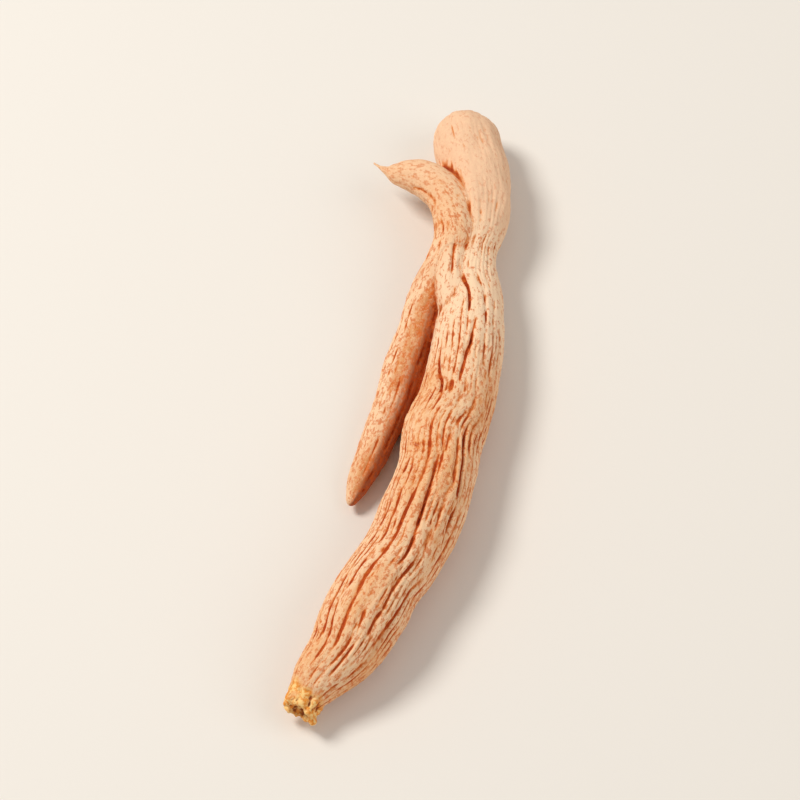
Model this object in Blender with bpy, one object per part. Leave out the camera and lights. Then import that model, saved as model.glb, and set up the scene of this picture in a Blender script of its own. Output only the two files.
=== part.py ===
"""Dried pseudostellaria root, lying on its side on a flat surface.

The root is one solid. Its crown, with the scar of the stem, points to -Y and its blunt lobe to +Y. A side
strand is grown together with its neck: one end of the strand hooks over the lobe, and the other lies back along
the left of the body and is joined to it by a low seam. Sizes here are in millimetres, and the meshes are made
in metres.
"""
import math

import bpy
import numpy as np
from mathutils import Vector, noise

MM = 0.001

# Centre lines of the limbs, as x, y, z and radius in millimetres

BODY = [
    (-5.95, -22.00, 1.50, 0.95),
    (-5.55, -21.20, 1.60, 1.12),
    (-4.82, -20.10, 1.87, 1.56),
    (-3.19, -18.00, 2.20, 2.19),
    (-2.13, -15.75, 2.46, 2.55),
    (-1.05, -13.35, 2.48, 2.49),
    (0.30, -11.00, 2.45, 2.50),
    (1.60, -7.55, 2.45, 2.60),
    (2.40, -4.75, 2.40, 2.45),
    (2.85, -1.85, 2.40, 2.50),
    (3.65, 0.75, 2.35, 2.40),
    (4.15, 3.60, 2.35, 2.35),
    (4.45, 6.35, 2.30, 2.15),
    (4.65, 8.70, 2.35, 1.85),
    (4.45, 10.70, 2.45, 1.75),
    (4.55, 12.10, 2.50, 1.55),
    (4.95, 14.30, 2.50, 1.85),
    (5.10, 16.80, 2.40, 2.07),
    (4.85, 19.20, 2.30, 2.15),
    (4.45, 21.30, 2.20, 2.15),
    (3.90, 23.65, 2.10, 2.10),
]
STRAND = [
    (-1.60, 19.95, 2.20, 0.14),
    (-1.10, 19.50, 2.25, 0.17),
    (-0.60, 19.10, 2.35, 0.36),
    (-0.10, 18.70, 2.60, 0.70),
    (0.70, 18.35, 2.90, 1.00),
    (1.80, 17.80, 3.15, 1.22),
    (2.85, 16.65, 3.30, 1.30),
    (3.55, 14.65, 3.30, 1.35),
    (3.55, 12.75, 3.20, 1.35),
    (3.05, 11.35, 2.95, 1.30),
    (2.20, 9.70, 2.45, 1.25),
    (1.55, 8.00, 2.00, 1.20),
    (1.10, 6.40, 1.65, 1.20),
    (0.36, 4.00, 1.40, 1.27),
    (-0.30, 1.45, 1.28, 1.18),
    (-1.06, -0.95, 1.23, 1.12),
    (-1.82, -3.15, 1.12, 0.94),
    (-2.56, -5.10, 0.92, 0.60),
    (-2.96, -6.12, 0.80, 0.28),
]
SHOULDER = [
    (3.50, 13.20, 3.10, 0.95),
    (3.40, 11.50, 3.15, 1.20),
    (3.35, 9.90, 3.05, 1.25),
    (3.50, 8.10, 2.75, 1.15),
    (3.85, 6.20, 2.25, 0.80),
]
SEAM = [
    (2.75, 8.60, 1.60, 0.70),
    (2.20, 6.00, 1.15, 0.75),
    (1.60, 3.20, 0.95, 0.70),
    (0.95, 0.60, 0.75, 0.55),
    (0.60, -1.20, 0.50, 0.30),
]

# Middle of the footprint in the numbers above, which is put at the origin

MIDDLE = (0.16, 0.64)

# Angles round a limb start at this side, which is up and a little towards -Y, and grow to the right
# of whoever looks along the limb

FRONT = Vector((0.0, -0.616, 0.788))
AHEAD = 0.05

# Rings of a rounded end, and the merging of points this close where the limbs join

CAP_STEPS = 4
SLIVER = 0.012

# Crown: a ragged rim round the pit of the stem scar

PIT_DEPTH = 0.45
PIT_RINGS = [(0.40, 0.30), (0.20, 0.60), (0.00, 0.82)]
RIM = (0.05, 0.98)
RAGGED_LENGTH = 1.5
RAGGED_END = 0.30
RAGGED_SIDE = 0.16
RAGGED_ROUND = 2.3

# Skin: a slow swelling of the section

SWELL_SHARE = 0.08
SWELL_ROUND = 0.8
SWELL_RUN = 0.15

# Long grooves, which wander, and come and go along a limb

GROOVE_DEPTH = 0.26
GROOVE_SHARE_OF_RADIUS = 0.16
GROOVE_SHARPNESS = 1.8
WANDER = 2.1
WANDER_ROUND = 1.3
WANDER_RUN = 0.07
FADE_ROUND = 4.0
FADE_RUN = 0.13
FADE_LEVEL = 0.70
FADE_CONTRAST = 1.5
GROOVE_STRENGTH = [(0.0, 0.6), (3.0, 1.0), (16.0, 0.9), (24.0, 0.6), (33.0, 0.5), (38.0, 0.4), (42.0, 0.25),
                   (49.0, 0.0)]

# Deeper furrows of the body: depth, then distance from the crown and angle in degrees

FURROWS = [
    (0.36, [(35.6, -16), (34.4, -15), (33.2, -12), (32.0, -9), (31.0, -6), (30.2, -3)]),
    (0.34, [(30.2, 7), (29.2, 6), (28.2, 3), (27.2, -1), (26.0, -4), (24.6, -8)]),
    (0.14, [(34.4, 13), (32.8, 19), (31.5, 23), (30.4, 26), (28.8, 25), (26.5, 29)]),
    (0.17, [(23.6, 20), (22.6, 18), (21.6, 15), (20.4, 9), (19.4, 3), (18.4, -2)]),
    (0.40, [(19.6, -5), (18.0, -6), (16.0, -4), (14.0, -2), (12.4, 0), (11.2, 3), (10.0, 5)]),
    (0.16, [(10.8, 11), (10.2, 13), (9.2, 16), (8.2, 19), (7.0, 22), (5.8, 25)]),
    (0.20, [(9.0, -3), (7.4, -2), (5.8, 1), (4.4, 5), (3.2, 9), (1.8, 14)]),
    (0.28, [(22.4, 32), (20.0, 34), (18.5, 36), (17.0, 40), (15.8, 44), (13.2, 46)]),
    (0.26, [(19.6, -20), (17.0, -20), (15.0, -23), (13.0, -26), (11.0, -26), (9.6, -24), (7.4, -20)]),
    (0.26, [(27.2, -50), (25.6, -42), (24.6, -35), (23.6, -30), (21.6, -27)]),
    (0.26, [(19.2, -49), (17.6, -53), (16.0, -56), (14.0, -58), (12.2, -63)]),
    (0.22, [(11.6, 46), (9.4, 44), (7.2, 42), (4.6, 40)]),
    (0.20, [(9.0, -50), (6.0, -45), (4.0, -41), (2.2, -36)]),
]
FURROW_HALF_WIDTH = 0.21
FURROW_FADE = 0.2


def spline(knots, values, at):
    """Smooth cubic through the values at the knots, read at the given places."""
    slopes = np.gradient(values, knots, axis=0)
    i = np.clip(np.searchsorted(knots, at, side="right") - 1, 0, len(knots) - 2)
    span = (knots[i + 1] - knots[i])[:, None]
    u = (at - knots[i])[:, None] / span
    start = (2 * u**3 - 3 * u**2 + 1) * values[i] + (u**3 - 2 * u**2 + u) * span * slopes[i]
    end = (3 * u**2 - 2 * u**3) * values[i + 1] + (u**3 - u**2) * span * slopes[i + 1]
    return start + end


def swell(s, angle, seed):
    """Slow change of the radius round and along a limb, as a share of it."""
    place = Vector((math.cos(angle) * SWELL_ROUND, math.sin(angle) * SWELL_ROUND, s * SWELL_RUN + seed))
    return SWELL_SHARE * noise.noise(place)


def groove(s, angle, radius, count, seed):
    """Depth of the long wrinkles, which get shallower where a limb is thin."""
    x, y = math.cos(angle), math.sin(angle)
    wander = noise.noise(Vector((x * WANDER_ROUND, y * WANDER_ROUND, s * WANDER_RUN + seed)))
    fade = noise.noise(Vector((x * FADE_ROUND, y * FADE_ROUND, s * FADE_RUN - seed)))
    line = (0.5 + 0.5 * math.cos(count * angle + WANDER * wander)) ** GROOVE_SHARPNESS
    depth = min(GROOVE_DEPTH, GROOVE_SHARE_OF_RADIUS * radius)
    return depth * line * min(1.0, max(0.0, FADE_LEVEL + FADE_CONTRAST * fade))


def furrow(s, angle, radius):
    """Depth of the deeper furrows of the body, each along its own line and fading at both ends."""
    depth = 0.0
    for deepest, line in FURROWS:
        places = np.array(line, dtype=float)[::-1]
        run = (s - places[0, 0]) / (places[-1, 0] - places[0, 0])
        if not 0 < run < 1:
            continue
        centre = math.radians(np.interp(s, places[:, 0], places[:, 1]))
        away = math.remainder(angle - centre, 2 * math.pi) * radius
        fade = min(1.0, run / FURROW_FADE, (1 - run) / FURROW_FADE)
        depth = max(depth, deepest * fade * math.exp(-((away / FURROW_HALF_WIDTH) ** 2)))
    return depth


def rounded_end(radius):
    """Rings of a rounded end, as distance from its tip and fullness."""
    angles = [math.pi / 2 * (k + 1) / (CAP_STEPS + 1) for k in range(CAP_STEPS)]
    return [(radius * (1 - math.cos(a)), math.sin(a)) for a in angles]


class Limb:
    """One limb as a closed mesh: its centre line, its rings and sides, and the wrinkles of its skin."""

    def __init__(self, name, stations, rings, sides, grooves=0, groove_seed=0.0, swell_seed=None, crown=False):
        self.name = name
        self.stations = np.array(stations)
        self.stations[:, :2] -= MIDDLE
        steps = np.linalg.norm(np.diff(self.stations[:, :3], axis=0), axis=1)
        self.knots = np.concatenate([[0.0], np.cumsum(steps)])
        self.length = self.knots[-1]
        self.ring_count = rings
        self.sides = sides
        self.grooves = grooves
        self.groove_seed = groove_seed
        self.swell_seed = swell_seed
        self.crown = crown

    def read(self, places):
        return spline(self.knots, self.stations, np.clip(places, 0.0, self.length))

    def rings(self):
        """Every ring, as distance along the limb and fullness: its start, an even run, and its end."""
        start = PIT_RINGS + [RIM] if self.crown else rounded_end(self.stations[0, 3])
        end = [(self.length - s, fullness) for s, fullness in reversed(rounded_end(self.stations[-1, 3]))]
        first = max(s for s, _ in start)
        last = min(s for s, _ in end)
        middle = np.linspace(first, last, self.ring_count + 2)[1:-1]
        return start + [(s, 1.0) for s in middle] + end

    def skin(self, s, angle, radius):
        """Radius of the skin, and how far it is pushed along the limb at the crown's ragged rim."""
        relief = 0.0
        push = 0.0
        if self.grooves:
            relief = groove(s, angle, radius, self.grooves, self.groove_seed)
        if self.crown:
            ragged = max(0.0, 1 - s / RAGGED_LENGTH)
            lump = noise.noise(Vector((math.cos(angle) * RAGGED_ROUND, math.sin(angle) * RAGGED_ROUND, s)))
            relief = max(relief * np.interp(s, *np.transpose(GROOVE_STRENGTH)), furrow(s, angle, radius))
            relief -= RAGGED_SIDE * ragged * lump
            push = -RAGGED_END * ragged * lump
        if self.swell_seed is not None:
            radius = radius * (1 + swell(s, angle, self.swell_seed))
        return radius - relief, push

    def points(self):
        rings = self.rings()
        places = np.array([s for s, _ in rings])
        centres = self.read(places)
        heading = self.read(places + AHEAD)[:, :3] - self.read(places - AHEAD)[:, :3]

        points = [Vector(self.read(np.array([PIT_DEPTH if self.crown else 0.0]))[0, :3])]
        for (s, fullness), centre, step in zip(rings, centres, heading):
            along = Vector(step).normalized()
            front = (FRONT - along * FRONT.dot(along)).normalized()
            side = along.cross(front)
            for k in range(self.sides):
                angle = 2 * math.pi * k / self.sides
                radius, push = self.skin(s, angle, centre[3])
                outward = front * math.cos(angle) + side * math.sin(angle)
                points.append(Vector(centre[:3]) + fullness * (outward * radius + along * push))
        points.append(Vector(self.stations[-1, :3]))
        return points, len(rings)

    def build(self):
        points, rings = self.points()
        faces = []
        last = len(points) - 1
        last_ring = last - self.sides
        for k in range(self.sides):
            after = (k + 1) % self.sides
            faces.append((0, 1 + after, 1 + k))
            faces.append((last, last_ring + k, last_ring + after))
            for ring in range(rings - 1):
                low = 1 + ring * self.sides
                high = low + self.sides
                faces.append((low + k, low + after, high + after, high + k))

        mesh = bpy.data.meshes.new(self.name)
        mesh.from_pydata([(p.x * MM, p.y * MM, max(p.z, 0.0) * MM) for p in points], [], faces)
        mesh.shade_smooth()
        return bpy.data.objects.new(self.name, mesh)


def skin_material():
    material = bpy.data.materials.new("dried_skin")
    material.use_nodes = True
    shader = material.node_tree.nodes["Principled BSDF"]
    shader.inputs["Base Color"].default_value = (0.70, 0.40, 0.22, 1.0)
    shader.inputs["Roughness"].default_value = 0.85
    shader.inputs["Metallic"].default_value = 0.0
    return material


def new_collection(name):
    collection = bpy.data.collections.new(name)
    bpy.context.scene.collection.children.link(collection)
    return collection


def main():
    for old in list(bpy.data.objects):
        bpy.data.objects.remove(old, do_unlink=True)
    root = new_collection("dried_pseudostellaria_root")
    joined = new_collection("limbs joined to the body")

    whole = Limb("dried_root", BODY, rings=40, sides=88, grooves=18, groove_seed=3.7, swell_seed=11.0, crown=True)
    body = whole.build()
    root.objects.link(body)
    body.data.materials.append(skin_material())
    side_limbs = [
        Limb("strand", STRAND, rings=28, sides=32, grooves=9, groove_seed=21.3, swell_seed=31.0),
        Limb("shoulder", SHOULDER, rings=8, sides=20, grooves=7, groove_seed=51.9),
        Limb("seam", SEAM, rings=8, sides=10, swell_seed=41.0),
    ]
    for limb in side_limbs:
        piece = limb.build()
        joined.objects.link(piece)
        piece.hide_render = True
        piece.display_type = "WIRE"

    union = body.modifiers.new("grown together", "BOOLEAN")
    union.operation = "UNION"
    union.operand_type = "COLLECTION"
    union.collection = joined
    weld = body.modifiers.new("slivers", "WELD")
    weld.merge_threshold = SLIVER * MM


main()
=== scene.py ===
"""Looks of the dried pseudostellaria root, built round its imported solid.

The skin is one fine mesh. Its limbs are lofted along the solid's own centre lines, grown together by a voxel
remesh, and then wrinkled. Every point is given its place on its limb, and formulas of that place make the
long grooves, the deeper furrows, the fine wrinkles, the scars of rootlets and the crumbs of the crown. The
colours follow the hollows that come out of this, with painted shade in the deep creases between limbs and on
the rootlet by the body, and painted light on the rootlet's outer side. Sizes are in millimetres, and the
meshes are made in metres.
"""
import math

import bpy
import numpy as np
from mathutils import Matrix, Vector, kdtree, noise


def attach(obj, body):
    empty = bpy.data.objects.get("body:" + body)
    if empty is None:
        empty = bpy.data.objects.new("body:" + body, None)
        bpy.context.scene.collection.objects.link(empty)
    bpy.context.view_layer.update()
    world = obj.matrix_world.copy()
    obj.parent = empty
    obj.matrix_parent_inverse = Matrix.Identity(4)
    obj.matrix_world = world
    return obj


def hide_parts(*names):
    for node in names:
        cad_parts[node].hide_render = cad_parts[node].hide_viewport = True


MM = 0.001

# Centre lines of the limbs, as x, y, z and radius: those of the solid

BODY = [
    (-5.95, -22.00, 1.50, 0.95),
    (-5.55, -21.20, 1.60, 1.12),
    (-4.82, -20.10, 1.87, 1.56),
    (-3.19, -18.00, 2.20, 2.19),
    (-2.13, -15.75, 2.46, 2.55),
    (-1.05, -13.35, 2.48, 2.49),
    (0.30, -11.00, 2.45, 2.50),
    (1.60, -7.55, 2.45, 2.60),
    (2.40, -4.75, 2.40, 2.45),
    (2.85, -1.85, 2.40, 2.50),
    (3.65, 0.75, 2.35, 2.40),
    (4.15, 3.60, 2.35, 2.35),
    (4.45, 6.35, 2.30, 2.15),
    (4.65, 8.70, 2.35, 1.85),
    (4.45, 10.70, 2.45, 1.75),
    (4.55, 12.10, 2.50, 1.55),
    (4.95, 14.30, 2.50, 1.85),
    (5.10, 16.80, 2.40, 2.07),
    (4.85, 19.20, 2.30, 2.15),
    (4.45, 21.30, 2.20, 2.15),
    (3.90, 23.65, 2.10, 2.10),
]
STRAND = [
    (-1.60, 19.95, 2.20, 0.14),
    (-1.10, 19.50, 2.25, 0.17),
    (-0.60, 19.10, 2.35, 0.36),
    (-0.10, 18.70, 2.60, 0.70),
    (0.70, 18.35, 2.90, 1.00),
    (1.80, 17.80, 3.15, 1.22),
    (2.85, 16.65, 3.30, 1.30),
    (3.55, 14.65, 3.30, 1.35),
    (3.55, 12.75, 3.20, 1.35),
    (3.05, 11.35, 2.95, 1.30),
    (2.20, 9.70, 2.45, 1.25),
    (1.55, 8.00, 2.00, 1.20),
    (1.10, 6.40, 1.65, 1.20),
    (0.36, 4.00, 1.40, 1.27),
    (-0.30, 1.45, 1.28, 1.18),
    (-1.06, -0.95, 1.23, 1.12),
    (-1.82, -3.15, 1.12, 0.94),
    (-2.56, -5.10, 0.92, 0.60),
    (-2.96, -6.12, 0.80, 0.28),
]
SHOULDER = [
    (3.50, 13.20, 3.10, 0.95),
    (3.40, 11.50, 3.15, 1.20),
    (3.35, 9.90, 3.05, 1.25),
    (3.50, 8.10, 2.75, 1.15),
    (3.85, 6.20, 2.25, 0.80),
]
SEAM = [
    (2.75, 8.60, 1.60, 0.70),
    (2.20, 6.00, 1.15, 0.75),
    (1.60, 3.20, 0.95, 0.70),
    (0.95, 0.60, 0.75, 0.55),
    (0.60, -1.20, 0.50, 0.30),
]

# Middle of the footprint in the numbers above, which is put at the origin, and the side where angles start

MIDDLE = (0.16, 0.64)
FRONT = np.array([0.0, -0.616, 0.788])

# Crown: a ragged rim round the pit of the stem scar

PIT_DEPTH = 0.45
PIT_RINGS = [(0.40, 0.30), (0.20, 0.60), (0.00, 0.82)]
RIM = (0.05, 0.98)
RAGGED_LENGTH = 1.5
RAGGED_END = 0.30
RAGGED_SIDE = 0.16
RAGGED_ROUND = 2.3

# Slow swelling of the section

SWELL_SHARE = 0.08
SWELL_ROUND = 0.8
SWELL_RUN = 0.15

# Long grooves, on the lines of the solid's, but narrower and less deep

GROOVE_DEPTH = 0.20
GROOVE_SHARE_OF_RADIUS = 0.16
GROOVE_SHARPNESS = 3.6
WANDER = 2.1
WANDER_ROUND = 1.3
WANDER_RUN = 0.07
FADE_ROUND = 4.0
FADE_RUN = 0.13
FADE_LEVEL = 0.62
FADE_CONTRAST = 1.5
GROOVE_STRENGTH = [(0.0, 0.5), (3.0, 0.75), (8.0, 0.95), (15.0, 0.95), (20.0, 0.65), (24.0, 0.50),
                   (33.0, 0.4), (38.0, 0.4), (41.0, 0.22), (44.0, 0.24), (47.0, 0.35), (49.5, 0.5)]
STRAND_STRENGTH = [(0.0, 0.30), (6.0, 0.35), (12.0, 0.60), (18.0, 0.90)]
EVEN_STRENGTH = [(0.0, 1.0), (1.0, 1.0)]

# Deeper furrows, on the lines of the solid's: depth, then distance from the crown and angle in degrees

FURROWS = [
    (0.32, [(35.6, -16), (34.4, -15), (33.2, -12), (32.0, -9), (31.0, -6), (30.2, -3)]),
    (0.34, [(30.2, 7), (29.2, 6), (28.2, 3), (27.2, -1), (26.0, -4), (24.6, -8)]),
    (0.14, [(34.4, 13), (32.8, 19), (31.5, 23), (30.4, 26), (28.8, 25), (26.5, 29)]),
    (0.12, [(23.6, 20), (22.6, 18), (21.6, 15), (20.4, 9), (19.4, 3), (18.4, -2)]),
    (0.36, [(19.6, -5), (18.0, -6), (16.0, -4), (14.0, -2), (12.4, 0), (11.2, 3), (10.0, 5)]),
    (0.16, [(10.8, 11), (10.2, 13), (9.2, 16), (8.2, 19), (7.0, 22), (5.8, 25)]),
    (0.14, [(9.0, -3), (7.4, -2), (5.8, 1), (4.4, 5), (3.2, 9), (1.8, 14)]),
    (0.28, [(22.4, 32), (20.0, 34), (18.5, 36), (17.0, 40), (15.8, 44), (13.2, 46)]),
    (0.26, [(19.6, -20), (17.0, -20), (15.0, -23), (13.0, -26), (11.0, -26), (9.6, -24), (7.4, -20)]),
    (0.26, [(27.2, -50), (25.6, -42), (24.6, -35), (23.6, -30), (21.6, -27)]),
    (0.26, [(19.2, -49), (17.6, -53), (16.0, -56), (14.0, -58), (12.2, -63)]),
    (0.22, [(11.6, 46), (9.4, 44), (7.2, 42), (4.6, 40)]),
    (0.20, [(9.0, -50), (6.0, -45), (4.0, -41), (2.2, -36)]),
]
FURROW_HALF_WIDTH = 0.120
FURROW_FADE = 0.2
FURROW_BREAKS = (-0.30, 0.15)
FURROW_BREAK_LEFT = 0.45
FURROW_BREAK_RUN = 0.9
FURROW_SEEDS = (7.3, 0.5)

# Scars of fallen rootlets on the body: distance from the crown, angle in degrees and size

SCARS = [(24.2, -21, 0.34), (35.0, 47, 0.30), (44.0, -10, 0.30), (26.6, -30, 0.24), (11.0, -29, 0.28)]

# Drawn scars: how many on a limb of a given length, how far from its ends and round it, and their sizes

MORE_SCARS = 14
MORE_SCARS_ON = 48
SCAR_FROM_START = 2.5
SCAR_FROM_END = 1.0
SCAR_TURN = 3.1
SCAR_SIZES = (0.12, 0.22)

# Pit of a scar and its lip, whose height is a share of the depth, and place and width are in sizes

SCAR_FULL_SIZE = 0.25
SCAR_DEPTH = 0.15
SCAR_LENGTH = 1.3
LIP_HEIGHT = 0.35
LIP_PLACE = 1.6
LIP_WIDTH = 0.5

# Fineness of the lofts and of the skin, remeshed while squeezed along Y so that its faces come out long

RING_STEP = 0.35
LOFT_SIDES = 72
CAP_STEPS = 8
SQUEEZE = 0.36
VOXEL = 0.074
SMOOTHING = 14
SMOOTH_FACTOR = 0.5

# Steps along a centre line, to read its direction and to find the nearest place on it

AHEAD = 0.05
LOCATE_STEP = 0.1

# Rounds of averaging: of the relief, and for the skin's mean level near by and further round; the depth under
# the level further round gives the painted shade in creases

RELIEF_ROUNDS = 1
HOLLOW_ROUNDS = 20
SHADE_DEPTH_ROUNDS = 70

# Where limbs meet, their wrinkles run into each other over this height

BLEND = 0.15

# Breaks in the long grooves, and the share of their depth that is left there

BREAKS = (-0.25, 0.20)
BREAK_LEFT = 0.20
BREAK_ROUND = 1.1
BREAK_RUN = 0.60

# Fine wrinkles between the long grooves, which come in dashes and get shallower where a limb is thin

FINE_PER_GROOVE = 2.25
LEAST_GROOVES = 4
FINE_DEPTH = 0.110
FINE_SHARPNESS = 2
FINE_RADIUS = 2.2
FINE_SEED = 5.0
FINE_WANDER = 4.5
FINE_WANDER_ROUND = 1.6
FINE_WANDER_RUN = 0.16
DASHES = (-0.35, 0.35)
DASH_ROUND = 0.9
DASH_RUN = 0.45
DASH_SEED = 30.0

# Patches of thin wrinkles across a limb

CROSS_DEPTH = 0.028
CROSS_THINNESS = 3.0
CROSS_ROUND = 0.35
CROSS_RUN = 1.5
CROSS_SEED = 90.0
PATCHES = (-0.1, 0.4)
PATCH_ROUND = 1.2
PATCH_RUN = 0.3
PATCH_SEED = 60.0

# Lumps and grains of the skin, which are longer than wide by a given share

LUMP_HEIGHT = 0.07
LUMP_SIZE = 1.1
LUMP_LENGTH = 1.8
GRAIN_HEIGHT = 0.034
GRAIN_SIZE = 0.30
GRAIN_LENGTH = 1.7

# The lobe, from its start on the body to where it is full, has weaker fine wrinkles

LOBE = (36.0, 40.0)
LOBE_FINE_LOST = 0.5

# Wrinkles die out on a limb's rounded end between these shares of its full radius, where they run together

END_FADE = (0.25, 0.97)

# Crumbs of the crown

CRUMB_HEIGHT = 0.22
CRUMB_SIZE = 0.42
FINE_CRUMB_SIZE = 0.19
FINE_CRUMB_SHARE = 0.6
CRUMB_LENGTH = 1.7
CRUMB_FADE = 0.7

# Nubs round the rim of the crown: lowest and highest of each drawn measure

NUBS = 11
NUB_SEED = 12
NUB_SHIFT = 0.3
NUB_DEPTHS = (0.10, 0.60)
NUB_SIZES = (0.20, 0.34)
NUB_PLACES = (0.70, 0.98)
NUB_LEANS = (0.2, 1.0)
NUB_WIDTH = 0.75
NUB_LENGTHS = (1.2, 1.8)

# How far apart the limbs lie in the texture's space

LIMB_APART = 70.0

# Regions along the body, as the distances from the crown between which they come in or end

CROWN_EDGE = (0.5, 1.9)
CROWN_EDGE_SHIFT = 1.2
CROWN_EDGE_SIZE = 0.7
UPPER = (24.0, 31.0)
CALM_LOBE = (36.5, 39.5)

# Regions along the strand, as the distances from the hook's tip between which they come in or end

HOOK = (9.0, 13.0)
HOOK_PALE = 0.25
CALM_HOOK = (5.0, 9.0)
HOOK_CALM = 0.4
ROOTLET = (11.0, 14.0)

# Sides of the rootlet: by the body as height over it, inner and outer as the sine of the angle. Painted shade
# goes near the body and on the inner side, which faces the body, and painted light goes on the outer side.

SHADE_BY_BODY = (0.2, 1.2)
SHADED_INNER_SIDE = (-0.25, 0.7)
INNER_SHADE_SHARE = 0.90
LIT_OUTER_SIDE = (0.0, 0.8)
OUTER_PAINTED_LIGHT = 0.5

# Colours, as on screen

CREAM = (247, 208, 168)
TAN = (238, 183, 132)
PALE_CREAM = (252, 219, 184)
LOBE_CREAM = (240, 194, 158)
ROOTLET_BROWN = (212, 136, 70)
HOLLOW_ORANGE = (229, 143, 72)
GROOVE_BROWN = (180, 66, 10)
# Painted shade in the deep creases between limbs
PAINTED_SHADE_BROWN = (138, 42, 6)
# Painted shade on the rootlet by the body and on its inner side
ROOTLET_SHADE_BROWN = (162, 60, 8)
FLECK_ORANGE = (212, 105, 36)
POWDER_CREAM = (251, 216, 176)
CROWN_OCHRE = (234, 146, 54)
CROWN_CREAM = (253, 212, 140)
CROWN_PIT = (150, 74, 24)
FLOOR_CREAM = (236, 232, 226)

# How far the colours go: shares of a colour, and edges between which it comes in. Hollows are in millimetres.

TONES = (0.35, 0.65)
# Pale is a paler tone of the upper body and the hook, and painted light on the rootlet's outer side
PALE_SHARE = 0.9
CALM_SHARE = 0.75
CALM_QUIET = 0.60
BROWN_PATCHES = (0.43, 0.61)
BROWN_SHARE = 0.70
PALE_FULL = 0.7
BROWN_LEFT_ON_PALE = 0.15
NOISE_MIDDLE = 0.5
STREAK_DEPTH = 0.16
PALE_LESS_ORANGE = 0.019
HOLLOW_EDGE = (-0.012, 0.026)
GROOVE_EDGE = (0.006, 0.042)
# Painted shade: where it comes in and its share in the deep creases, and its share on the rootlet by the body
PAINTED_SHADE_EDGE = (0.06, 0.24)
PAINTED_SHADE_SHARE = 0.85
ROOTLET_SHADE_SHARE = 0.92
FLECKS = (0.49, 0.59)
FLECK_SHARE = 0.75
ROOTLET_FLECKS = 0.02
PALE_FLECKS = 0.027
POWDER = (0.50, 0.66)
POWDER_SHARE = 0.50
POWDER_HOLLOW = (0.0, 0.03)
CROWN_CRUMBS = (0.42, 0.58)
CROWN_HOLLOW = (0.01, 0.07)

# Roughness and bump of the skin, and shine of the skin and the floor

ROUGH_NOISE = (0.3, 0.7)
ROUGHNESS = (0.72, 0.92)
BUMP_STRENGTH = 0.55
BUMP_METRES = 0.00006
SKIN_SPECULAR = 0.25
FLOOR_SPECULAR = 0.2
FLOOR_ROUGHNESS = 0.9

# Stage, in metres: half the floor's side, the room's light, and lights as name, place, size, power and colour

FLOOR_HALF = 1.5
ROOM_COLOUR = (1.0, 0.97, 0.93, 1.0)
ROOM_STRENGTH = 0.42
LIGHTS = [
    ("key", (-0.18, 0.06, 0.26), 0.12, 0.70, (1.0, 0.96, 0.90)),
    ("fill", (0.25, -0.08, 0.22), 0.25, 0.24, (1.0, 0.95, 0.90)),
]

# Camera, in metres and degrees: from the front, and from above, as in the photograph

LOOK_AT = (0.0, 0.0, 0.0026)
VIEW_ELEVATION = 52.0
VIEW_WIDTH = 0.0490
VIEW_DISTANCE = 0.42
VIEW_CLIP = (0.01, 10.0)
SENSOR = 36.0


def spline(knots, values, at):
    """Smooth cubic through the values at the knots, read at the given places."""
    slopes = np.gradient(values, knots, axis=0)
    i = np.clip(np.searchsorted(knots, at, side="right") - 1, 0, len(knots) - 2)
    span = (knots[i + 1] - knots[i])[:, None]
    u = (at - knots[i])[:, None] / span
    start = (2 * u**3 - 3 * u**2 + 1) * values[i] + (u**3 - 2 * u**2 + u) * span * slopes[i]
    end = (3 * u**2 - 2 * u**3) * values[i + 1] + (u**3 - u**2) * span * slopes[i + 1]
    return start + end


def noise_at(x, y, z):
    """Blender's gradient noise, about -1 to 1, at arrays of places."""
    x, y, z = np.broadcast_arrays(x, y, z)
    places = zip(x.ravel().tolist(), y.ravel().tolist(), z.ravel().tolist())
    return np.array([noise.noise(place) for place in places]).reshape(x.shape)


def smoothstep(low, high, x):
    """0 below low, 1 above high, and a smooth rise between them."""
    u = np.clip((x - low) / (high - low), 0.0, 1.0)
    return u * u * (3 - 2 * u)


def swell(s, angle, seed):
    """Slow change of the radius round and along a limb, as a share of it."""
    x, y = np.cos(angle), np.sin(angle)
    return SWELL_SHARE * noise_at(x * SWELL_ROUND, y * SWELL_ROUND, s * SWELL_RUN + seed)


def groove(s, angle, radius, count, seed):
    """Depth of the long wrinkles, which get shallower where a limb is thin."""
    x, y = np.cos(angle), np.sin(angle)
    wander = noise_at(x * WANDER_ROUND, y * WANDER_ROUND, s * WANDER_RUN + seed)
    fade = noise_at(x * FADE_ROUND, y * FADE_ROUND, s * FADE_RUN - seed)
    line = (0.5 + 0.5 * np.cos(count * angle + WANDER * wander)) ** GROOVE_SHARPNESS
    depth = np.minimum(GROOVE_DEPTH, GROOVE_SHARE_OF_RADIUS * radius)
    return depth * line * np.clip(FADE_LEVEL + FADE_CONTRAST * fade, 0.0, 1.0)


def furrow(s, angle, radius):
    """Depth of the deeper furrows of the body, each along its own line and fading at both ends."""
    depth = np.zeros_like(s)
    for k, (deepest, line) in enumerate(FURROWS):
        places = np.array(line, dtype=float)[::-1]
        run = (s - places[0, 0]) / (places[-1, 0] - places[0, 0])
        centre = np.radians(np.interp(s, places[:, 0], places[:, 1]))
        away = np.angle(np.exp(1j * (angle - centre))) * radius
        fade = np.clip(np.minimum(run, 1 - run) / FURROW_FADE, 0.0, 1.0)
        chance = noise_at(s * FURROW_BREAK_RUN, FURROW_SEEDS[0] * k, FURROW_SEEDS[1])
        whole = smoothstep(*FURROW_BREAKS, chance)
        fade = fade * (FURROW_BREAK_LEFT + (1 - FURROW_BREAK_LEFT) * whole)
        depth = np.maximum(depth, deepest * fade * np.exp(-((away / FURROW_HALF_WIDTH) ** 2)))
    return depth


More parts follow.
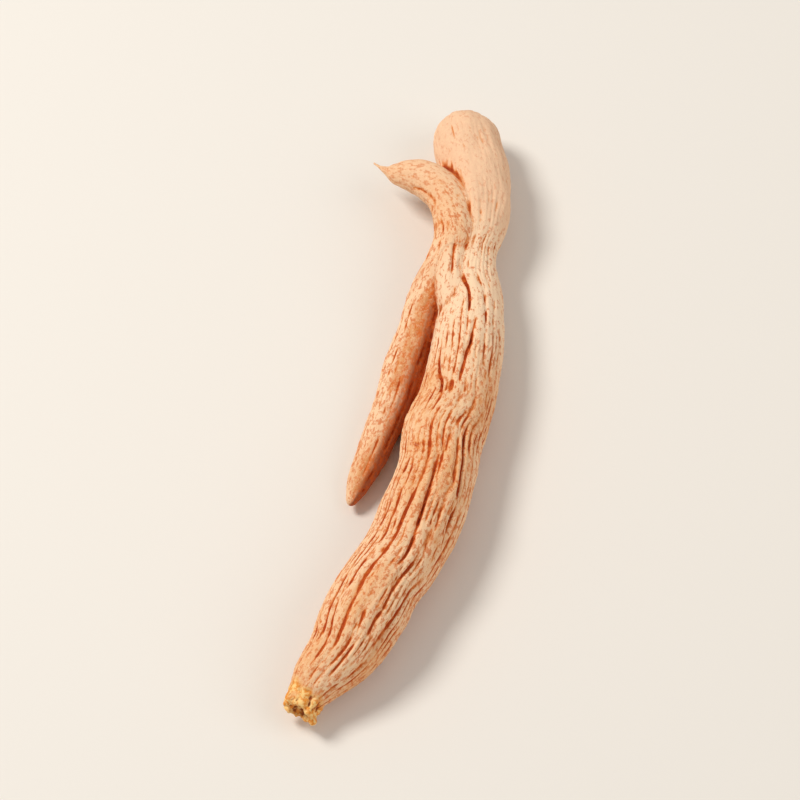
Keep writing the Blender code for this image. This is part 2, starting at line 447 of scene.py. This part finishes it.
def rounded_end(radius):
    """Rings of a rounded end, as distance from its tip and fullness."""
    angles = [math.pi / 2 * (k + 1) / (CAP_STEPS + 1) for k in range(CAP_STEPS)]
    return [(radius * (1 - math.cos(a)), math.sin(a)) for a in angles]


def limb_rings(length, start, end):
    """Every ring of a limb, as distance along it and fullness: its start, an even run, and its end."""
    far_end = [(length - s, fullness) for s, fullness in reversed(end)]
    first = max(s for s, _ in start)
    last = min(s for s, _ in far_end)
    middle = np.linspace(first, last, int((last - first) / RING_STEP) + 2)[1:-1]
    return start + [(s, 1.0) for s in middle] + far_end


class Limb:
    """One limb of the root: its centre line, its own wrinkles, and what its two ends look like."""

    def __init__(self, name, stations, grooves, groove_seed, swell_seed, strength=EVEN_STRENGTH, crown=False,
                 level=1.0):
        self.name = name
        self.stations = np.array(stations)
        self.stations[:, :2] -= MIDDLE
        steps = np.linalg.norm(np.diff(self.stations[:, :3], axis=0), axis=1)
        self.knots = np.concatenate([[0.0], np.cumsum(steps)])
        self.length = self.knots[-1]
        self.grooves = grooves
        self.groove_seed = groove_seed
        self.swell_seed = swell_seed
        self.strength = strength
        self.crown = crown
        self.level = level

    def read(self, s):
        """Centre, radius, and the directions along, to the front and to the side, at places on the limb."""
        values = spline(self.knots, self.stations, s)
        ahead = spline(self.knots, self.stations, np.minimum(s + AHEAD, self.length))[:, :3]
        behind = spline(self.knots, self.stations, np.maximum(s - AHEAD, 0.0))[:, :3]
        along = ahead - behind
        along /= np.linalg.norm(along, axis=1)[:, None]
        front = FRONT - along * (along @ FRONT)[:, None]
        front /= np.linalg.norm(front, axis=1)[:, None]
        return values[:, :3], values[:, 3], along, front, np.cross(along, front)

    def swell(self, s, angle):
        """Slow change of the radius, which is left out where the limb has no seed for it."""
        if self.swell_seed is None:
            return np.zeros(np.broadcast(s, angle).shape)
        return swell(s, angle, self.swell_seed)

    def fullness(self, s):
        """Share of the radius that is left near the rounded ends."""
        start, end = self.stations[0, 3], self.stations[-1, 3]
        into = np.clip((self.length - s) / end, 0.0, 1.0)
        full = np.sqrt(1 - (1 - into) ** 2)
        if not self.crown:
            into = np.clip(s / start, 0.0, 1.0)
            full = full * np.sqrt(1 - (1 - into) ** 2)
        return full

    def loft(self):
        """The limb as one closed mesh with no wrinkles yet."""
        start = PIT_RINGS + [RIM] if self.crown else rounded_end(self.stations[0, 3])
        rings = limb_rings(self.length, start, rounded_end(self.stations[-1, 3]))
        s, fullness = (np.array(column)[:, None] for column in zip(*rings))
        centre, radius, along, front, side = self.read(s[:, 0])
        angle = np.linspace(0, 2 * math.pi, LOFT_SIDES, endpoint=False)[None, :]

        out = radius[:, None] * (1 + self.swell(s, angle))
        push = np.zeros_like(out)
        if self.crown:
            ragged = np.clip(1 - s / RAGGED_LENGTH, 0.0, 1.0)
            lump = noise_at(np.cos(angle) * RAGGED_ROUND, np.sin(angle) * RAGGED_ROUND, s)
            out = out + RAGGED_SIDE * ragged * lump
            push = -RAGGED_END * ragged * lump
        out = (fullness * out)[..., None]
        push = (fullness * push)[..., None]
        outward = front[:, None] * np.cos(angle)[..., None] + side[:, None] * np.sin(angle)[..., None]
        points = centre[:, None] + outward * out + along[:, None] * push
        tip = self.read(np.array([PIT_DEPTH if self.crown else 0.0]))[0]
        points = np.concatenate([tip, points.reshape(-1, 3), self.stations[-1:, :3]])
        return loft_mesh(self.name, points * MM, len(rings))

    def locate(self, points):
        """Where points are on the limb: distance along it, angle round it, and height over its surface."""
        samples = np.arange(0.0, self.length, LOCATE_STEP)
        centre, radius, along, front, side = self.read(samples)
        tree = kdtree.KDTree(len(samples))
        for k, place in enumerate(centre):
            tree.insert(place, k)
        tree.balance()
        k = np.array([tree.find(point)[1] for point in points.tolist()])
        offset = points - centre[k]
        forward = np.einsum("ij,ij->i", offset, along[k])
        s = np.clip(samples[k] + forward, 0.0, self.length)
        beyond = samples[k] + forward - s
        offset = offset - along[k] * forward[:, None]
        x = np.einsum("ij,ij->i", offset, front[k])
        y = np.einsum("ij,ij->i", offset, side[k])
        height = np.sqrt(x**2 + y**2 + beyond**2) - radius[k] * self.fullness(s)
        return s, np.arctan2(y, x), radius[k], height


def loft_mesh(name, points, rings):
    """Rings of points, with one point at each end, as one closed mesh."""
    faces = []
    last = len(points) - 1
    last_ring = last - LOFT_SIDES
    for k in range(LOFT_SIDES):
        after = (k + 1) % LOFT_SIDES
        faces.append((0, 1 + after, 1 + k))
        faces.append((last, last_ring + k, last_ring + after))
        for ring in range(rings - 1):
            low = 1 + ring * LOFT_SIDES
            high = low + LOFT_SIDES
            faces.append((low + k, low + after, high + after, high + k))
    mesh = bpy.data.meshes.new(name)
    mesh.from_pydata(points.tolist(), [], faces)
    return mesh


def crown_nubs(limb):
    """Small stubs of old stems and bud scales round the rim of the crown."""
    chance = np.random.default_rng(NUB_SEED)
    centre, radius, along, front, side = (value[0] for value in limb.read(np.array([0.0])))
    nubs = []
    for k in range(NUBS):
        angle = 2 * math.pi * (k + chance.uniform(-NUB_SHIFT, NUB_SHIFT)) / NUBS
        outward = front * math.cos(angle) + side * math.sin(angle)
        depth = chance.uniform(*NUB_DEPTHS)
        size = chance.uniform(*NUB_SIZES)
        place = centre + outward * radius * chance.uniform(*NUB_PLACES) + along * depth
        bpy.ops.mesh.primitive_ico_sphere_add(subdivisions=3, radius=size * MM, location=place * MM)
        nub = bpy.context.object
        lean = Vector(outward * chance.uniform(*NUB_LEANS) - along)
        nub.rotation_euler = lean.to_track_quat("Z", "Y").to_euler()
        nub.scale = (1.0, NUB_WIDTH, chance.uniform(*NUB_LENGTHS))
        nubs.append(nub)
    return nubs


def grown_together(limbs):
    """The smooth limbs as one fine closed mesh."""
    parts = []
    for limb in limbs:
        part = bpy.data.objects.new(limb.name, limb.loft())
        bpy.context.scene.collection.objects.link(part)
        parts.append(part)
    parts.extend(crown_nubs(limbs[0]))
    root = parts[0]
    with bpy.context.temp_override(active_object=root, object=root, selected_editable_objects=parts):
        bpy.ops.object.join()

    remesh = root.modifiers.new("grown together", "REMESH")
    remesh.mode = "VOXEL"
    remesh.voxel_size = VOXEL * MM
    smooth = root.modifiers.new("junctions", "SMOOTH")
    smooth.factor = SMOOTH_FACTOR
    smooth.iterations = SMOOTHING
    root.data.transform(Matrix.Diagonal((1.0, SQUEEZE, 1.0, 1.0)))
    graph = bpy.context.evaluated_depsgraph_get()
    mesh = bpy.data.meshes.new_from_object(root.evaluated_get(graph))
    mesh.transform(Matrix.Diagonal((1.0, 1 / SQUEEZE, 1.0, 1.0)))
    mesh.update()
    bpy.data.objects.remove(root)
    return mesh


def scars(limb, s, angle, radius):
    """Depth of the small pits where rootlets fell off, each with a low lip."""
    chance = np.random.default_rng(int(limb.groove_seed * 10))
    places = [(place, math.radians(degrees), size) for place, degrees, size in SCARS] if limb.crown else []
    for _ in range(int(MORE_SCARS * limb.length / MORE_SCARS_ON)):
        place = chance.uniform(SCAR_FROM_START, limb.length - SCAR_FROM_END)
        turn = chance.uniform(-SCAR_TURN, SCAR_TURN)
        places.append((place, turn, chance.uniform(*SCAR_SIZES)))
    depth = np.zeros_like(s)
    for place, centre, size in places:
        across = np.angle(np.exp(1j * (angle - centre))) * radius / size
        away = np.hypot(across, (s - place) / (SCAR_LENGTH * size))
        lip = LIP_HEIGHT * np.exp(-(((away - LIP_PLACE) / LIP_WIDTH) ** 2))
        depth += SCAR_DEPTH * (np.exp(-(away**2)) - lip) * size / SCAR_FULL_SIZE
    return depth


def long_wrinkles(limb, s, angle, radius):
    """Depth of the long grooves with their breaks, of the scars and of the furrows."""
    x, y = np.cos(angle), np.sin(angle)
    depth = np.zeros_like(s)
    if limb.grooves:
        place = s * BREAK_RUN - limb.groove_seed
        whole = smoothstep(*BREAKS, noise_at(x * radius * BREAK_ROUND, y * radius * BREAK_ROUND, place))
        depth = groove(s, angle, radius, limb.grooves, limb.groove_seed)
        depth = depth * (BREAK_LEFT + (1 - BREAK_LEFT) * whole)
        depth = (depth + scars(limb, s, angle, radius)) * np.interp(s, *np.transpose(limb.strength))
    if limb.crown:
        depth = np.maximum(depth, furrow(s, angle, radius))
    return depth


def fine_wrinkles(limb, s, angle, radius, seed):
    """Depth of the fine wrinkles along a limb."""
    x, y = np.cos(angle), np.sin(angle)
    wander = noise_at(x * FINE_WANDER_ROUND, y * FINE_WANDER_ROUND, s * FINE_WANDER_RUN + seed)
    dash = noise_at(x * radius * DASH_ROUND, y * radius * DASH_ROUND, s * DASH_RUN + seed + DASH_SEED)
    lines = round(FINE_PER_GROOVE * max(limb.grooves, LEAST_GROOVES))
    line = (0.5 + 0.5 * np.cos(lines * angle + FINE_WANDER * wander)) ** FINE_SHARPNESS
    return FINE_DEPTH * line * smoothstep(*DASHES, dash) * np.minimum(1.0, (radius / FINE_RADIUS) ** 2)


def cross_wrinkles(s, angle, radius, seed):
    """Depth of the thin wrinkles across a limb."""
    x, y = np.cos(angle), np.sin(angle)
    patch = noise_at(x * PATCH_ROUND, y * PATCH_ROUND, s * PATCH_RUN + seed + PATCH_SEED)
    patch = smoothstep(*PATCHES, patch)
    across = noise_at(x * radius * CROSS_ROUND, y * radius * CROSS_ROUND, s * CROSS_RUN + seed + CROSS_SEED)
    return CROSS_DEPTH * patch * np.clip(1 - CROSS_THINNESS * np.abs(across), 0.0, 1.0)


def bumps(s, angle, radius, seed, size, length):
    """Rise and fall of the skin, about -1 to 1, in bumps of one size."""
    x, y = np.cos(angle), np.sin(angle)
    return noise_at(x * radius / size, y * radius / size, s / (length * size) + seed)


def relief_on(limb, s, angle, radius):
    """Depth of all the wrinkles of one limb, in millimetres."""
    seed = limb.groove_seed + FINE_SEED
    depth = long_wrinkles(limb, s, angle, radius)
    fine = fine_wrinkles(limb, s, angle, radius, seed)
    cross = cross_wrinkles(s, angle, radius, seed)
    lump = bumps(s, angle, radius, seed, LUMP_SIZE, LUMP_LENGTH)
    grain = bumps(s, angle, radius, seed, GRAIN_SIZE, GRAIN_LENGTH)
    full = smoothstep(*END_FADE, limb.fullness(s))
    if limb.crown:
        lobe = smoothstep(*LOBE, s)
        fine = fine * (1 - LOBE_FINE_LOST * lobe)
        lump = lump * (1 + lobe)
    return full * (limb.level * (depth + fine + cross) - LUMP_HEIGHT * lump - GRAIN_HEIGHT * grain)


def crumbs(points, s):
    """Height of the crumbly skin of the crown."""
    crumb = noise_at(*(points.T / CRUMB_SIZE)) + FINE_CRUMB_SHARE * noise_at(*(points.T / FINE_CRUMB_SIZE))
    return CRUMB_HEIGHT * crumb * smoothstep(0.0, CRUMB_FADE, 1 - s / CRUMB_LENGTH)


def neighbours_mean(values, edges, count, rounds):
    """Values averaged with those of the next points, again and again."""
    a, b = edges[:, 0], edges[:, 1]
    degree = np.bincount(a, minlength=count) + np.bincount(b, minlength=count)
    values = values.copy()
    for _ in range(rounds):
        for column in range(values.shape[1]):
            total = np.bincount(a, weights=values[b, column], minlength=count)
            total += np.bincount(b, weights=values[a, column], minlength=count)
            values[:, column] = 0.5 * values[:, column] + 0.5 * total / degree
    return values


def point_array(mesh, field, size=3):
    """One field of all the mesh's points, with a row for each point."""
    values = np.empty(len(mesh.vertices) * size, dtype=np.float32)
    mesh.vertices.foreach_get(field, values)
    return values.reshape(-1, size).astype(float)


def add_attribute(mesh, name, values):
    """A number or a vector for each point, which the material reads by name."""
    kind = "FLOAT" if values.ndim == 1 else "FLOAT_VECTOR"
    field = "value" if values.ndim == 1 else "vector"
    attribute = mesh.attributes.new(name, kind, "POINT")
    attribute.data.foreach_set(field, values.astype(np.float32).ravel())


def add_places(mesh, points, limbs, places, shares):
    """Where each point is on the limb that it is most part of, for the textures."""
    owner = shares.argmax(axis=0)
    columns = np.arange(len(points))
    s, angle, radius = (np.array([place[k] for place in places])[owner, columns] for k in range(3))
    full = np.array([limb.fullness(place[0]) for limb, place in zip(limbs, places)])[owner, columns]
    out = radius * full
    around = np.stack([out * np.cos(angle), out * np.sin(angle), s + LIMB_APART * owner], axis=1)
    add_attribute(mesh, "place", around)
    add_attribute(mesh, "spot", points)


def add_regions(mesh, points, places, heights, shares):
    """How much each point belongs to the crown, the rootlet, the painted shade on the rootlet by the body and
    on its inner side, and the paler and calmer parts, where pale is a paler tone and also painted light on
    the rootlet's outer side.
    """
    body_s, strand_s, strand_side = places[0][0], places[1][0], np.sin(places[1][1])
    on_body, on_strand, on_shoulder = shares[0], shares[1], shares[2]

    crumbly = noise_at(*(points.T / CROWN_EDGE_SIZE))
    add_attribute(mesh, "crown", (1 - smoothstep(*CROWN_EDGE, body_s + CROWN_EDGE_SHIFT * crumbly)) * on_body)
    rootlet = smoothstep(*ROOTLET, strand_s) * on_strand
    add_attribute(mesh, "rootlet", rootlet)
    # Painted shade on the rootlet: near the body, and on its inner side, which faces the body
    shade_by_body = 1 - smoothstep(*SHADE_BY_BODY, heights[0])
    shaded_inner_side = INNER_SHADE_SHARE * smoothstep(*SHADED_INNER_SIDE, -strand_side)
    add_attribute(mesh, "rootlet_painted_shade", rootlet * np.maximum(shade_by_body, shaded_inner_side))

    upper = smoothstep(*UPPER, body_s) * on_body + on_shoulder
    hook = (1 - smoothstep(*HOOK, strand_s)) * on_strand
    # Painted light: the rootlet's outer side is made paler
    lit_outer_side = rootlet * smoothstep(*LIT_OUTER_SIDE, strand_side)
    add_attribute(mesh, "pale", upper + HOOK_PALE * hook + OUTER_PAINTED_LIGHT * lit_outer_side)
    calm_lobe = smoothstep(*CALM_LOBE, body_s) * on_body
    calm_hook = (1 - smoothstep(*CALM_HOOK, strand_s)) * on_strand
    add_attribute(mesh, "calm", calm_lobe + HOOK_CALM * calm_hook)


def add_hollows(mesh, points, normals, edges):
    """How deep each point lies under the skin's mean level, near by and further round it, in millimetres. The
    depth further round is used as painted shade in the creases between limbs.
    """
    near = neighbours_mean(points, edges, len(points), HOLLOW_ROUNDS)
    wide = neighbours_mean(near, edges, len(points), SHADE_DEPTH_ROUNDS)
    add_attribute(mesh, "hollow", np.einsum("ij,ij->i", near - points, normals))
    # The depth under the wide mean level is read by the material as painted shade in the creases between
    # limbs
    add_attribute(mesh, "painted_shade_depth", np.einsum("ij,ij->i", wide - points, normals))


def make_skin(limbs):
    """The limbs grown together and wrinkled, with the attributes that the material reads."""
    mesh = grown_together(limbs)
    points = point_array(mesh, "co") / MM
    normals = point_array(mesh, "normal")

    places = [limb.locate(points) for limb in limbs]
    heights = np.array([place[3] for place in places])
    nearness = np.exp(-(heights - heights.min(axis=0)) / BLEND)
    shares = nearness / nearness.sum(axis=0)
    relief = sum(share * relief_on(limb, *place[:3]) for limb, place, share in zip(limbs, places, shares))
    relief -= shares[0] * crumbs(points, places[0][0])

    edges = np.empty(len(mesh.edges) * 2, dtype=np.int32)
    mesh.edges.foreach_get("vertices", edges)
    edges = edges.reshape(-1, 2)
    points = points - normals * neighbours_mean(relief[:, None], edges, len(points), RELIEF_ROUNDS)
    points[:, 2] = np.maximum(points[:, 2], 0.0)
    mesh.vertices.foreach_set("co", (points * MM).astype(np.float32).ravel())
    mesh.update()
    mesh.shade_smooth()

    add_hollows(mesh, points, normals, edges)
    add_places(mesh, points, limbs, places, shares)
    add_regions(mesh, points, places, heights, shares)
    return mesh


def srgb(red, green, blue):
    """A colour given as on screen, from 0 to 255, as the shader takes it."""
    parts = [part / 255 for part in (red, green, blue)]
    linear = [part / 12.92 if part <= 0.04045 else ((part + 0.055) / 1.055) ** 2.4 for part in parts]
    return (*linear, 1.0)


class Nodes:
    """Short calls for building one material's nodes."""

    def __init__(self, name):
        self.material = bpy.data.materials.new(name)
        self.material.use_nodes = True
        self.tree = self.material.node_tree
        self.shader = self.tree.nodes["Principled BSDF"]

    def node(self, kind, inputs, output=0, **settings):
        node = self.tree.nodes.new(kind)
        for name, value in settings.items():
            setattr(node, name, value)
        for socket, value in inputs.items():
            self.put(node.inputs[socket], value)
        return node.outputs[output]

    def put(self, socket, value):
        if isinstance(value, bpy.types.NodeSocket):
            self.tree.links.new(value, socket)
        else:
            socket.default_value = value

    def attribute(self, name, output="Fac"):
        return self.node("ShaderNodeAttribute", {}, output, attribute_name=name)

    def noise(self, place, scale, detail=3.0, roughness=0.5):
        inputs = {"Vector": place, "Scale": scale, "Detail": detail, "Roughness": roughness}
        return self.node("ShaderNodeTexNoise", inputs)

    def stretched(self, place, along):
        return self.node("ShaderNodeVectorMath", {0: place, 1: (1.0, 1.0, along)}, operation="MULTIPLY")

    def ramp(self, value, low, high, start=0.0, end=1.0):
        inputs = {0: value, 1: low, 2: high, 3: start, 4: end}
        return self.node("ShaderNodeMapRange", inputs, interpolation_type="SMOOTHSTEP")

    def math(self, operation, first, second):
        return self.node("ShaderNodeMath", {0: first, 1: second}, operation=operation)

    def mix(self, share, first, second):
        inputs = {0: share, 6: first, 7: second}
        return self.node("ShaderNodeMix", inputs, 2, data_type="RGBA")


def ridge_colour(n, place, rootlet, pale):
    """Cream ridges, with slow change from paler to browner."""
    tone = n.noise(n.stretched(place, along=0.4), scale=0.35, detail=2.0)
    ridge = n.mix(n.ramp(tone, *TONES), srgb(*CREAM), srgb(*TAN))
    # Paler tone, and painted light on the rootlet's outer side
    ridge = n.mix(n.math("MULTIPLY", pale, PALE_SHARE), ridge, srgb(*PALE_CREAM))
    ridge = n.mix(n.math("MULTIPLY", n.attribute("calm"), CALM_SHARE), ridge, srgb(*LOBE_CREAM))
    patch = n.noise(n.stretched(place, along=0.45), scale=0.75, detail=2.0)
    patch = n.ramp(patch, *BROWN_PATCHES, 0.0, BROWN_SHARE)
    patch = n.math("MULTIPLY", rootlet, patch)
    # Fewer brown patches where pale, so also on the rootlet's painted lit side
    patch = n.math("MULTIPLY", patch, n.ramp(pale, 0.0, PALE_FULL, 1.0, BROWN_LEFT_ON_PALE))
    return n.mix(patch, ridge, srgb(*ROOTLET_BROWN))


def hollow_colour(n, ridge, place, hollow, pale, calm, rootlet_painted_shade):
    """Orange in the hollows, deep orange brown in the deepest, painted shade in the deep creases between
    limbs, and painted shade on the rootlet by the body and on its inner side.
    """
    streak = n.noise(n.stretched(place, along=0.25), scale=3.4, detail=5.0, roughness=0.65)
    streak = n.math("MULTIPLY", n.math("SUBTRACT", streak, NOISE_MIDDLE), STREAK_DEPTH)
    orange_depth = n.math("ADD", hollow, n.math("MULTIPLY", streak, calm))
    # Less orange where pale, so also on the rootlet's painted lit side
    orange_depth = n.math("SUBTRACT", orange_depth, n.math("MULTIPLY", pale, PALE_LESS_ORANGE))
    colour = n.mix(n.ramp(orange_depth, *HOLLOW_EDGE), ridge, srgb(*HOLLOW_ORANGE))
    colour = n.mix(n.ramp(orange_depth, *GROOVE_EDGE), colour, srgb(*GROOVE_BROWN))
    # Painted shade: deep brown in the creases between limbs
    crease_shade = n.ramp(n.attribute("painted_shade_depth"), *PAINTED_SHADE_EDGE, 0.0, PAINTED_SHADE_SHARE)
    colour = n.mix(crease_shade, colour, srgb(*PAINTED_SHADE_BROWN))
    # Painted shade on the rootlet by the body and on its inner side
    return n.mix(n.math("MULTIPLY", rootlet_painted_shade, ROOTLET_SHADE_SHARE), colour, srgb(*ROOTLET_SHADE_BROWN))


def flecked_colour(n, colour, place, hollow, rootlet, pale, calm, rootlet_painted_shade):
    """Short orange flecks along the skin, and pale powder."""
    fleck = n.noise(n.stretched(place, along=0.55), scale=4.6, detail=4.0, roughness=0.7)
    fleck = n.math("ADD", fleck, n.math("MULTIPLY", rootlet, ROOTLET_FLECKS))
    # Fewer flecks where pale, so also on the rootlet's painted lit side
    fleck = n.math("SUBTRACT", fleck, n.math("MULTIPLY", pale, PALE_FLECKS))
    fleck = n.math("MULTIPLY", n.ramp(fleck, *FLECKS, 0.0, FLECK_SHARE), calm)
    colour = n.mix(fleck, colour, srgb(*FLECK_ORANGE))
    powder = n.ramp(n.noise(place, scale=6.0, detail=3.0, roughness=0.7), *POWDER, 0.0, POWDER_SHARE)
    # No powder on the painted shade of the rootlet
    powder = n.math("MULTIPLY", powder, n.math("SUBTRACT", 1.0, rootlet_painted_shade))
    powder = n.math("MULTIPLY", powder, n.ramp(hollow, *POWDER_HOLLOW, 1.0, 0.0))
    return n.mix(powder, colour, srgb(*POWDER_CREAM))


def crown_colour(n, hollow):
    """Yellowish crumbs at the crown, brown in its pit."""
    crumb = n.noise(n.attribute("spot", "Vector"), scale=4.2, detail=4.0, roughness=0.65)
    colour = n.mix(n.ramp(crumb, *CROWN_CRUMBS), srgb(*CROWN_OCHRE), srgb(*CROWN_CREAM))
    return n.mix(n.ramp(hollow, *CROWN_HOLLOW), colour, srgb(*CROWN_PIT))


def skin_material():
    """Dried skin: cream ridges, orange hollows, flecks and powder, and the crumbs of the crown, with painted
    shade in the creases and on the rootlet's inner side, and painted light on its outer side.
    """
    n = Nodes("dried_skin_fine")
    place = n.attribute("place", "Vector")
    hollow = n.attribute("hollow")
    rootlet = n.attribute("rootlet")
    # Painted shade on the rootlet by the body and on its inner side
    rootlet_painted_shade = n.attribute("rootlet_painted_shade")
    # Paler tone, and painted light on the rootlet's outer side
    pale = n.attribute("pale")
    calm = n.math("SUBTRACT", 1.0, n.math("MULTIPLY", n.attribute("calm"), CALM_QUIET))

    colour = ridge_colour(n, place, rootlet, pale)
    colour = hollow_colour(n, colour, place, hollow, pale, calm, rootlet_painted_shade)
    colour = flecked_colour(n, colour, place, hollow, rootlet, pale, calm, rootlet_painted_shade)
    colour = n.mix(n.attribute("crown"), colour, crown_colour(n, hollow))

    rough = n.ramp(n.noise(place, scale=4.0, detail=3.0), *ROUGH_NOISE, *ROUGHNESS)
    dents = n.noise(n.stretched(place, along=0.35), scale=5.5, detail=4.0, roughness=0.6)
    grain = n.noise(place, scale=14.0, detail=3.0, roughness=0.6)
    height = n.math("ADD", dents, grain)
    bump = n.node("ShaderNodeBump", {"Strength": BUMP_STRENGTH, "Distance": BUMP_METRES, "Height": height})
    n.put(n.shader.inputs["Base Color"], colour)
    n.put(n.shader.inputs["Roughness"], rough)
    n.put(n.shader.inputs["Normal"], bump)
    n.shader.inputs["Specular IOR Level"].default_value = SKIN_SPECULAR
    return n.material


def floor_material():
    n = Nodes("pale_floor")
    n.shader.inputs["Base Color"].default_value = srgb(*FLOOR_CREAM)
    n.shader.inputs["Roughness"].default_value = FLOOR_ROUGHNESS
    n.shader.inputs["Specular IOR Level"].default_value = FLOOR_SPECULAR
    return n.material


def add_floor():
    corners = [(-1, -1), (1, -1), (1, 1), (-1, 1)]
    mesh = bpy.data.meshes.new("floor")
    mesh.from_pydata([(x * FLOOR_HALF, y * FLOOR_HALF, 0) for x, y in corners], [], [(0, 1, 2, 3)])
    mesh.materials.append(floor_material())
    floor = bpy.data.objects.new("floor", mesh)
    bpy.context.scene.collection.objects.link(floor)


def add_light(name, place, size, power, colour):
    light = bpy.data.lights.new(name, "AREA")
    light.shape = "DISK"
    light.size = size
    light.energy = power
    light.color = colour
    lamp = bpy.data.objects.new(name, light)
    lamp.location = place
    lamp.rotation_euler = (Vector(LOOK_AT) - Vector(place)).to_track_quat("-Z", "Y").to_euler()
    bpy.context.scene.collection.objects.link(lamp)


def add_room():
    """Soft light from all round, and the two lights."""
    world = bpy.data.worlds.new("pale room")
    world.use_nodes = True
    background = world.node_tree.nodes["Background"]
    background.inputs["Color"].default_value = ROOM_COLOUR
    background.inputs["Strength"].default_value = ROOM_STRENGTH
    bpy.context.scene.world = world
    for light in LIGHTS:
        add_light(*light)


def add_camera():
    camera = bpy.data.cameras.new("camera")
    camera.sensor_width = SENSOR
    camera.lens = SENSOR * VIEW_DISTANCE / VIEW_WIDTH
    camera.clip_start, camera.clip_end = VIEW_CLIP
    viewer = bpy.data.objects.new("camera", camera)
    lift = math.radians(VIEW_ELEVATION)
    viewer.location = Vector(LOOK_AT) + VIEW_DISTANCE * Vector((0.0, -math.cos(lift), math.sin(lift)))
    viewer.rotation_euler = (math.radians(90.0 - VIEW_ELEVATION), 0.0, 0.0)
    bpy.context.scene.collection.objects.link(viewer)
    bpy.context.scene.camera = viewer
    bpy.context.scene.view_settings.view_transform = "Standard"


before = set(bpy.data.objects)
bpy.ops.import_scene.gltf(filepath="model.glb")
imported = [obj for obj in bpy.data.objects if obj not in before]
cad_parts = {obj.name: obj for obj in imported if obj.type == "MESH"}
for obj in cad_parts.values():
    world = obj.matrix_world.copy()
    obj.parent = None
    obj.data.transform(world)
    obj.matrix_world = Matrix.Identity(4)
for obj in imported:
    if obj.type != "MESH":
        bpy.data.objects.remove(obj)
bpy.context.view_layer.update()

body = Limb("dried_root_skin", BODY, grooves=18, groove_seed=3.7, swell_seed=11.0, strength=GROOVE_STRENGTH,
            crown=True)
strand = Limb("strand", STRAND, grooves=9, groove_seed=21.3, swell_seed=31.0, strength=STRAND_STRENGTH,
              level=0.9)
shoulder = Limb("shoulder", SHOULDER, grooves=8, groove_seed=51.9, swell_seed=None)
seam = Limb("seam", SEAM, grooves=0, groove_seed=71.0, swell_seed=41.0)
skin_mesh = make_skin([body, strand, shoulder, seam])
skin_mesh.materials.append(skin_material())
skin = bpy.data.objects.new("dried_root_skin", skin_mesh)
bpy.context.scene.collection.objects.link(skin)
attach(skin, "root")
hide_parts("dried_root")
add_floor()
add_room()
add_camera()
